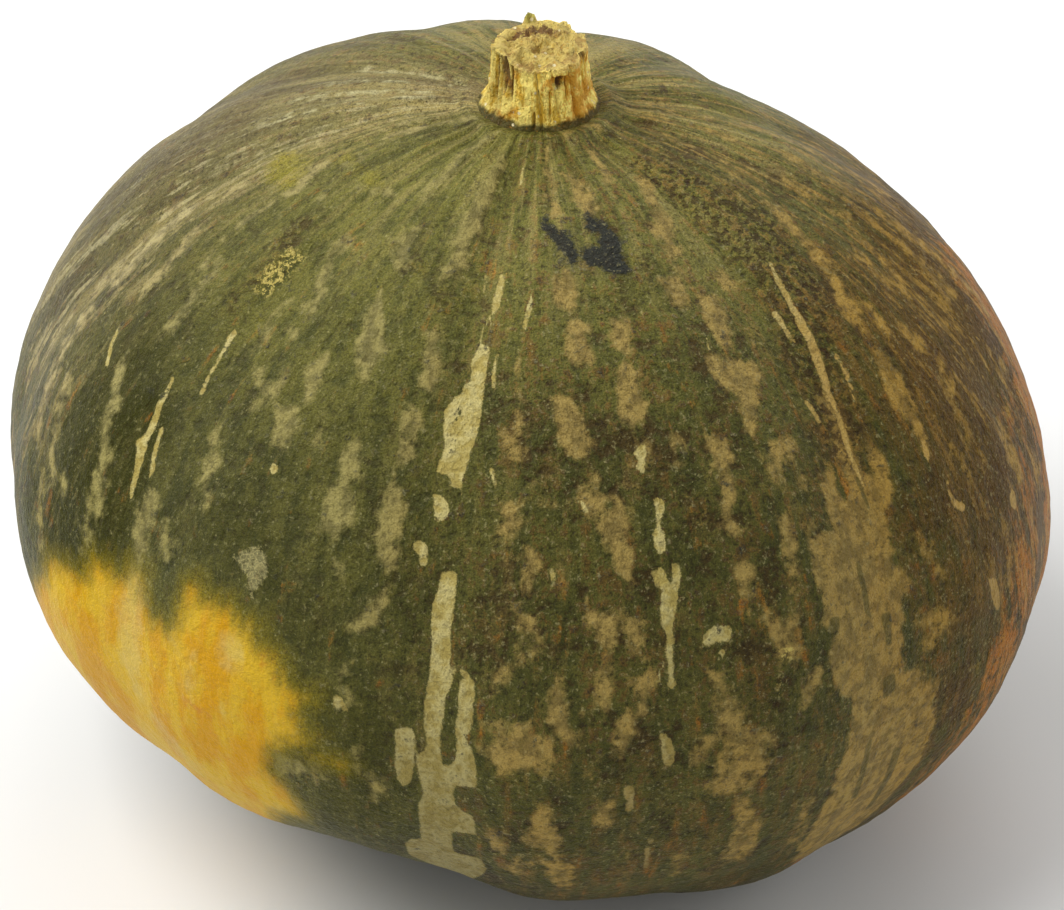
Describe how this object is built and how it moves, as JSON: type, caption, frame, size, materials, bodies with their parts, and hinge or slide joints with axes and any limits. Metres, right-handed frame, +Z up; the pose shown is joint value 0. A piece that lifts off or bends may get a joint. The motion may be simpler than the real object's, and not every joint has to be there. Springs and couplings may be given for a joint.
{
  "type": "kabocha squash",
  "caption": "Whole kabocha squash: a flattened dark green globe with shallow lobes, a yellow ground spot and the corky stub of its stalk, resting on its blossom end.",
  "frame": {"origin": "middle of the footprint, on the surface the fruit rests on", "axes": "+Z up along the line from the blossom end to the stalk; -Y is the side with the long pale streak, and the ground spot lies towards -X of it"},
  "size_m": [0.1784, 0.179, 0.1406],
  "materials": {
    "rind": "hard waxy rind with a low sheen, dark olive green with tan mottling, pale streaks along the lobe grooves and a yellow-orange ground spot",
    "cork": "dry corky stalk, furrowed along its length, yellow-tan with brown furrows and a spongy broken end"
  },
  "bodies": {
    "root": {"fruit": "rind", "stem": "cork"}
  },
  "joints": []
}
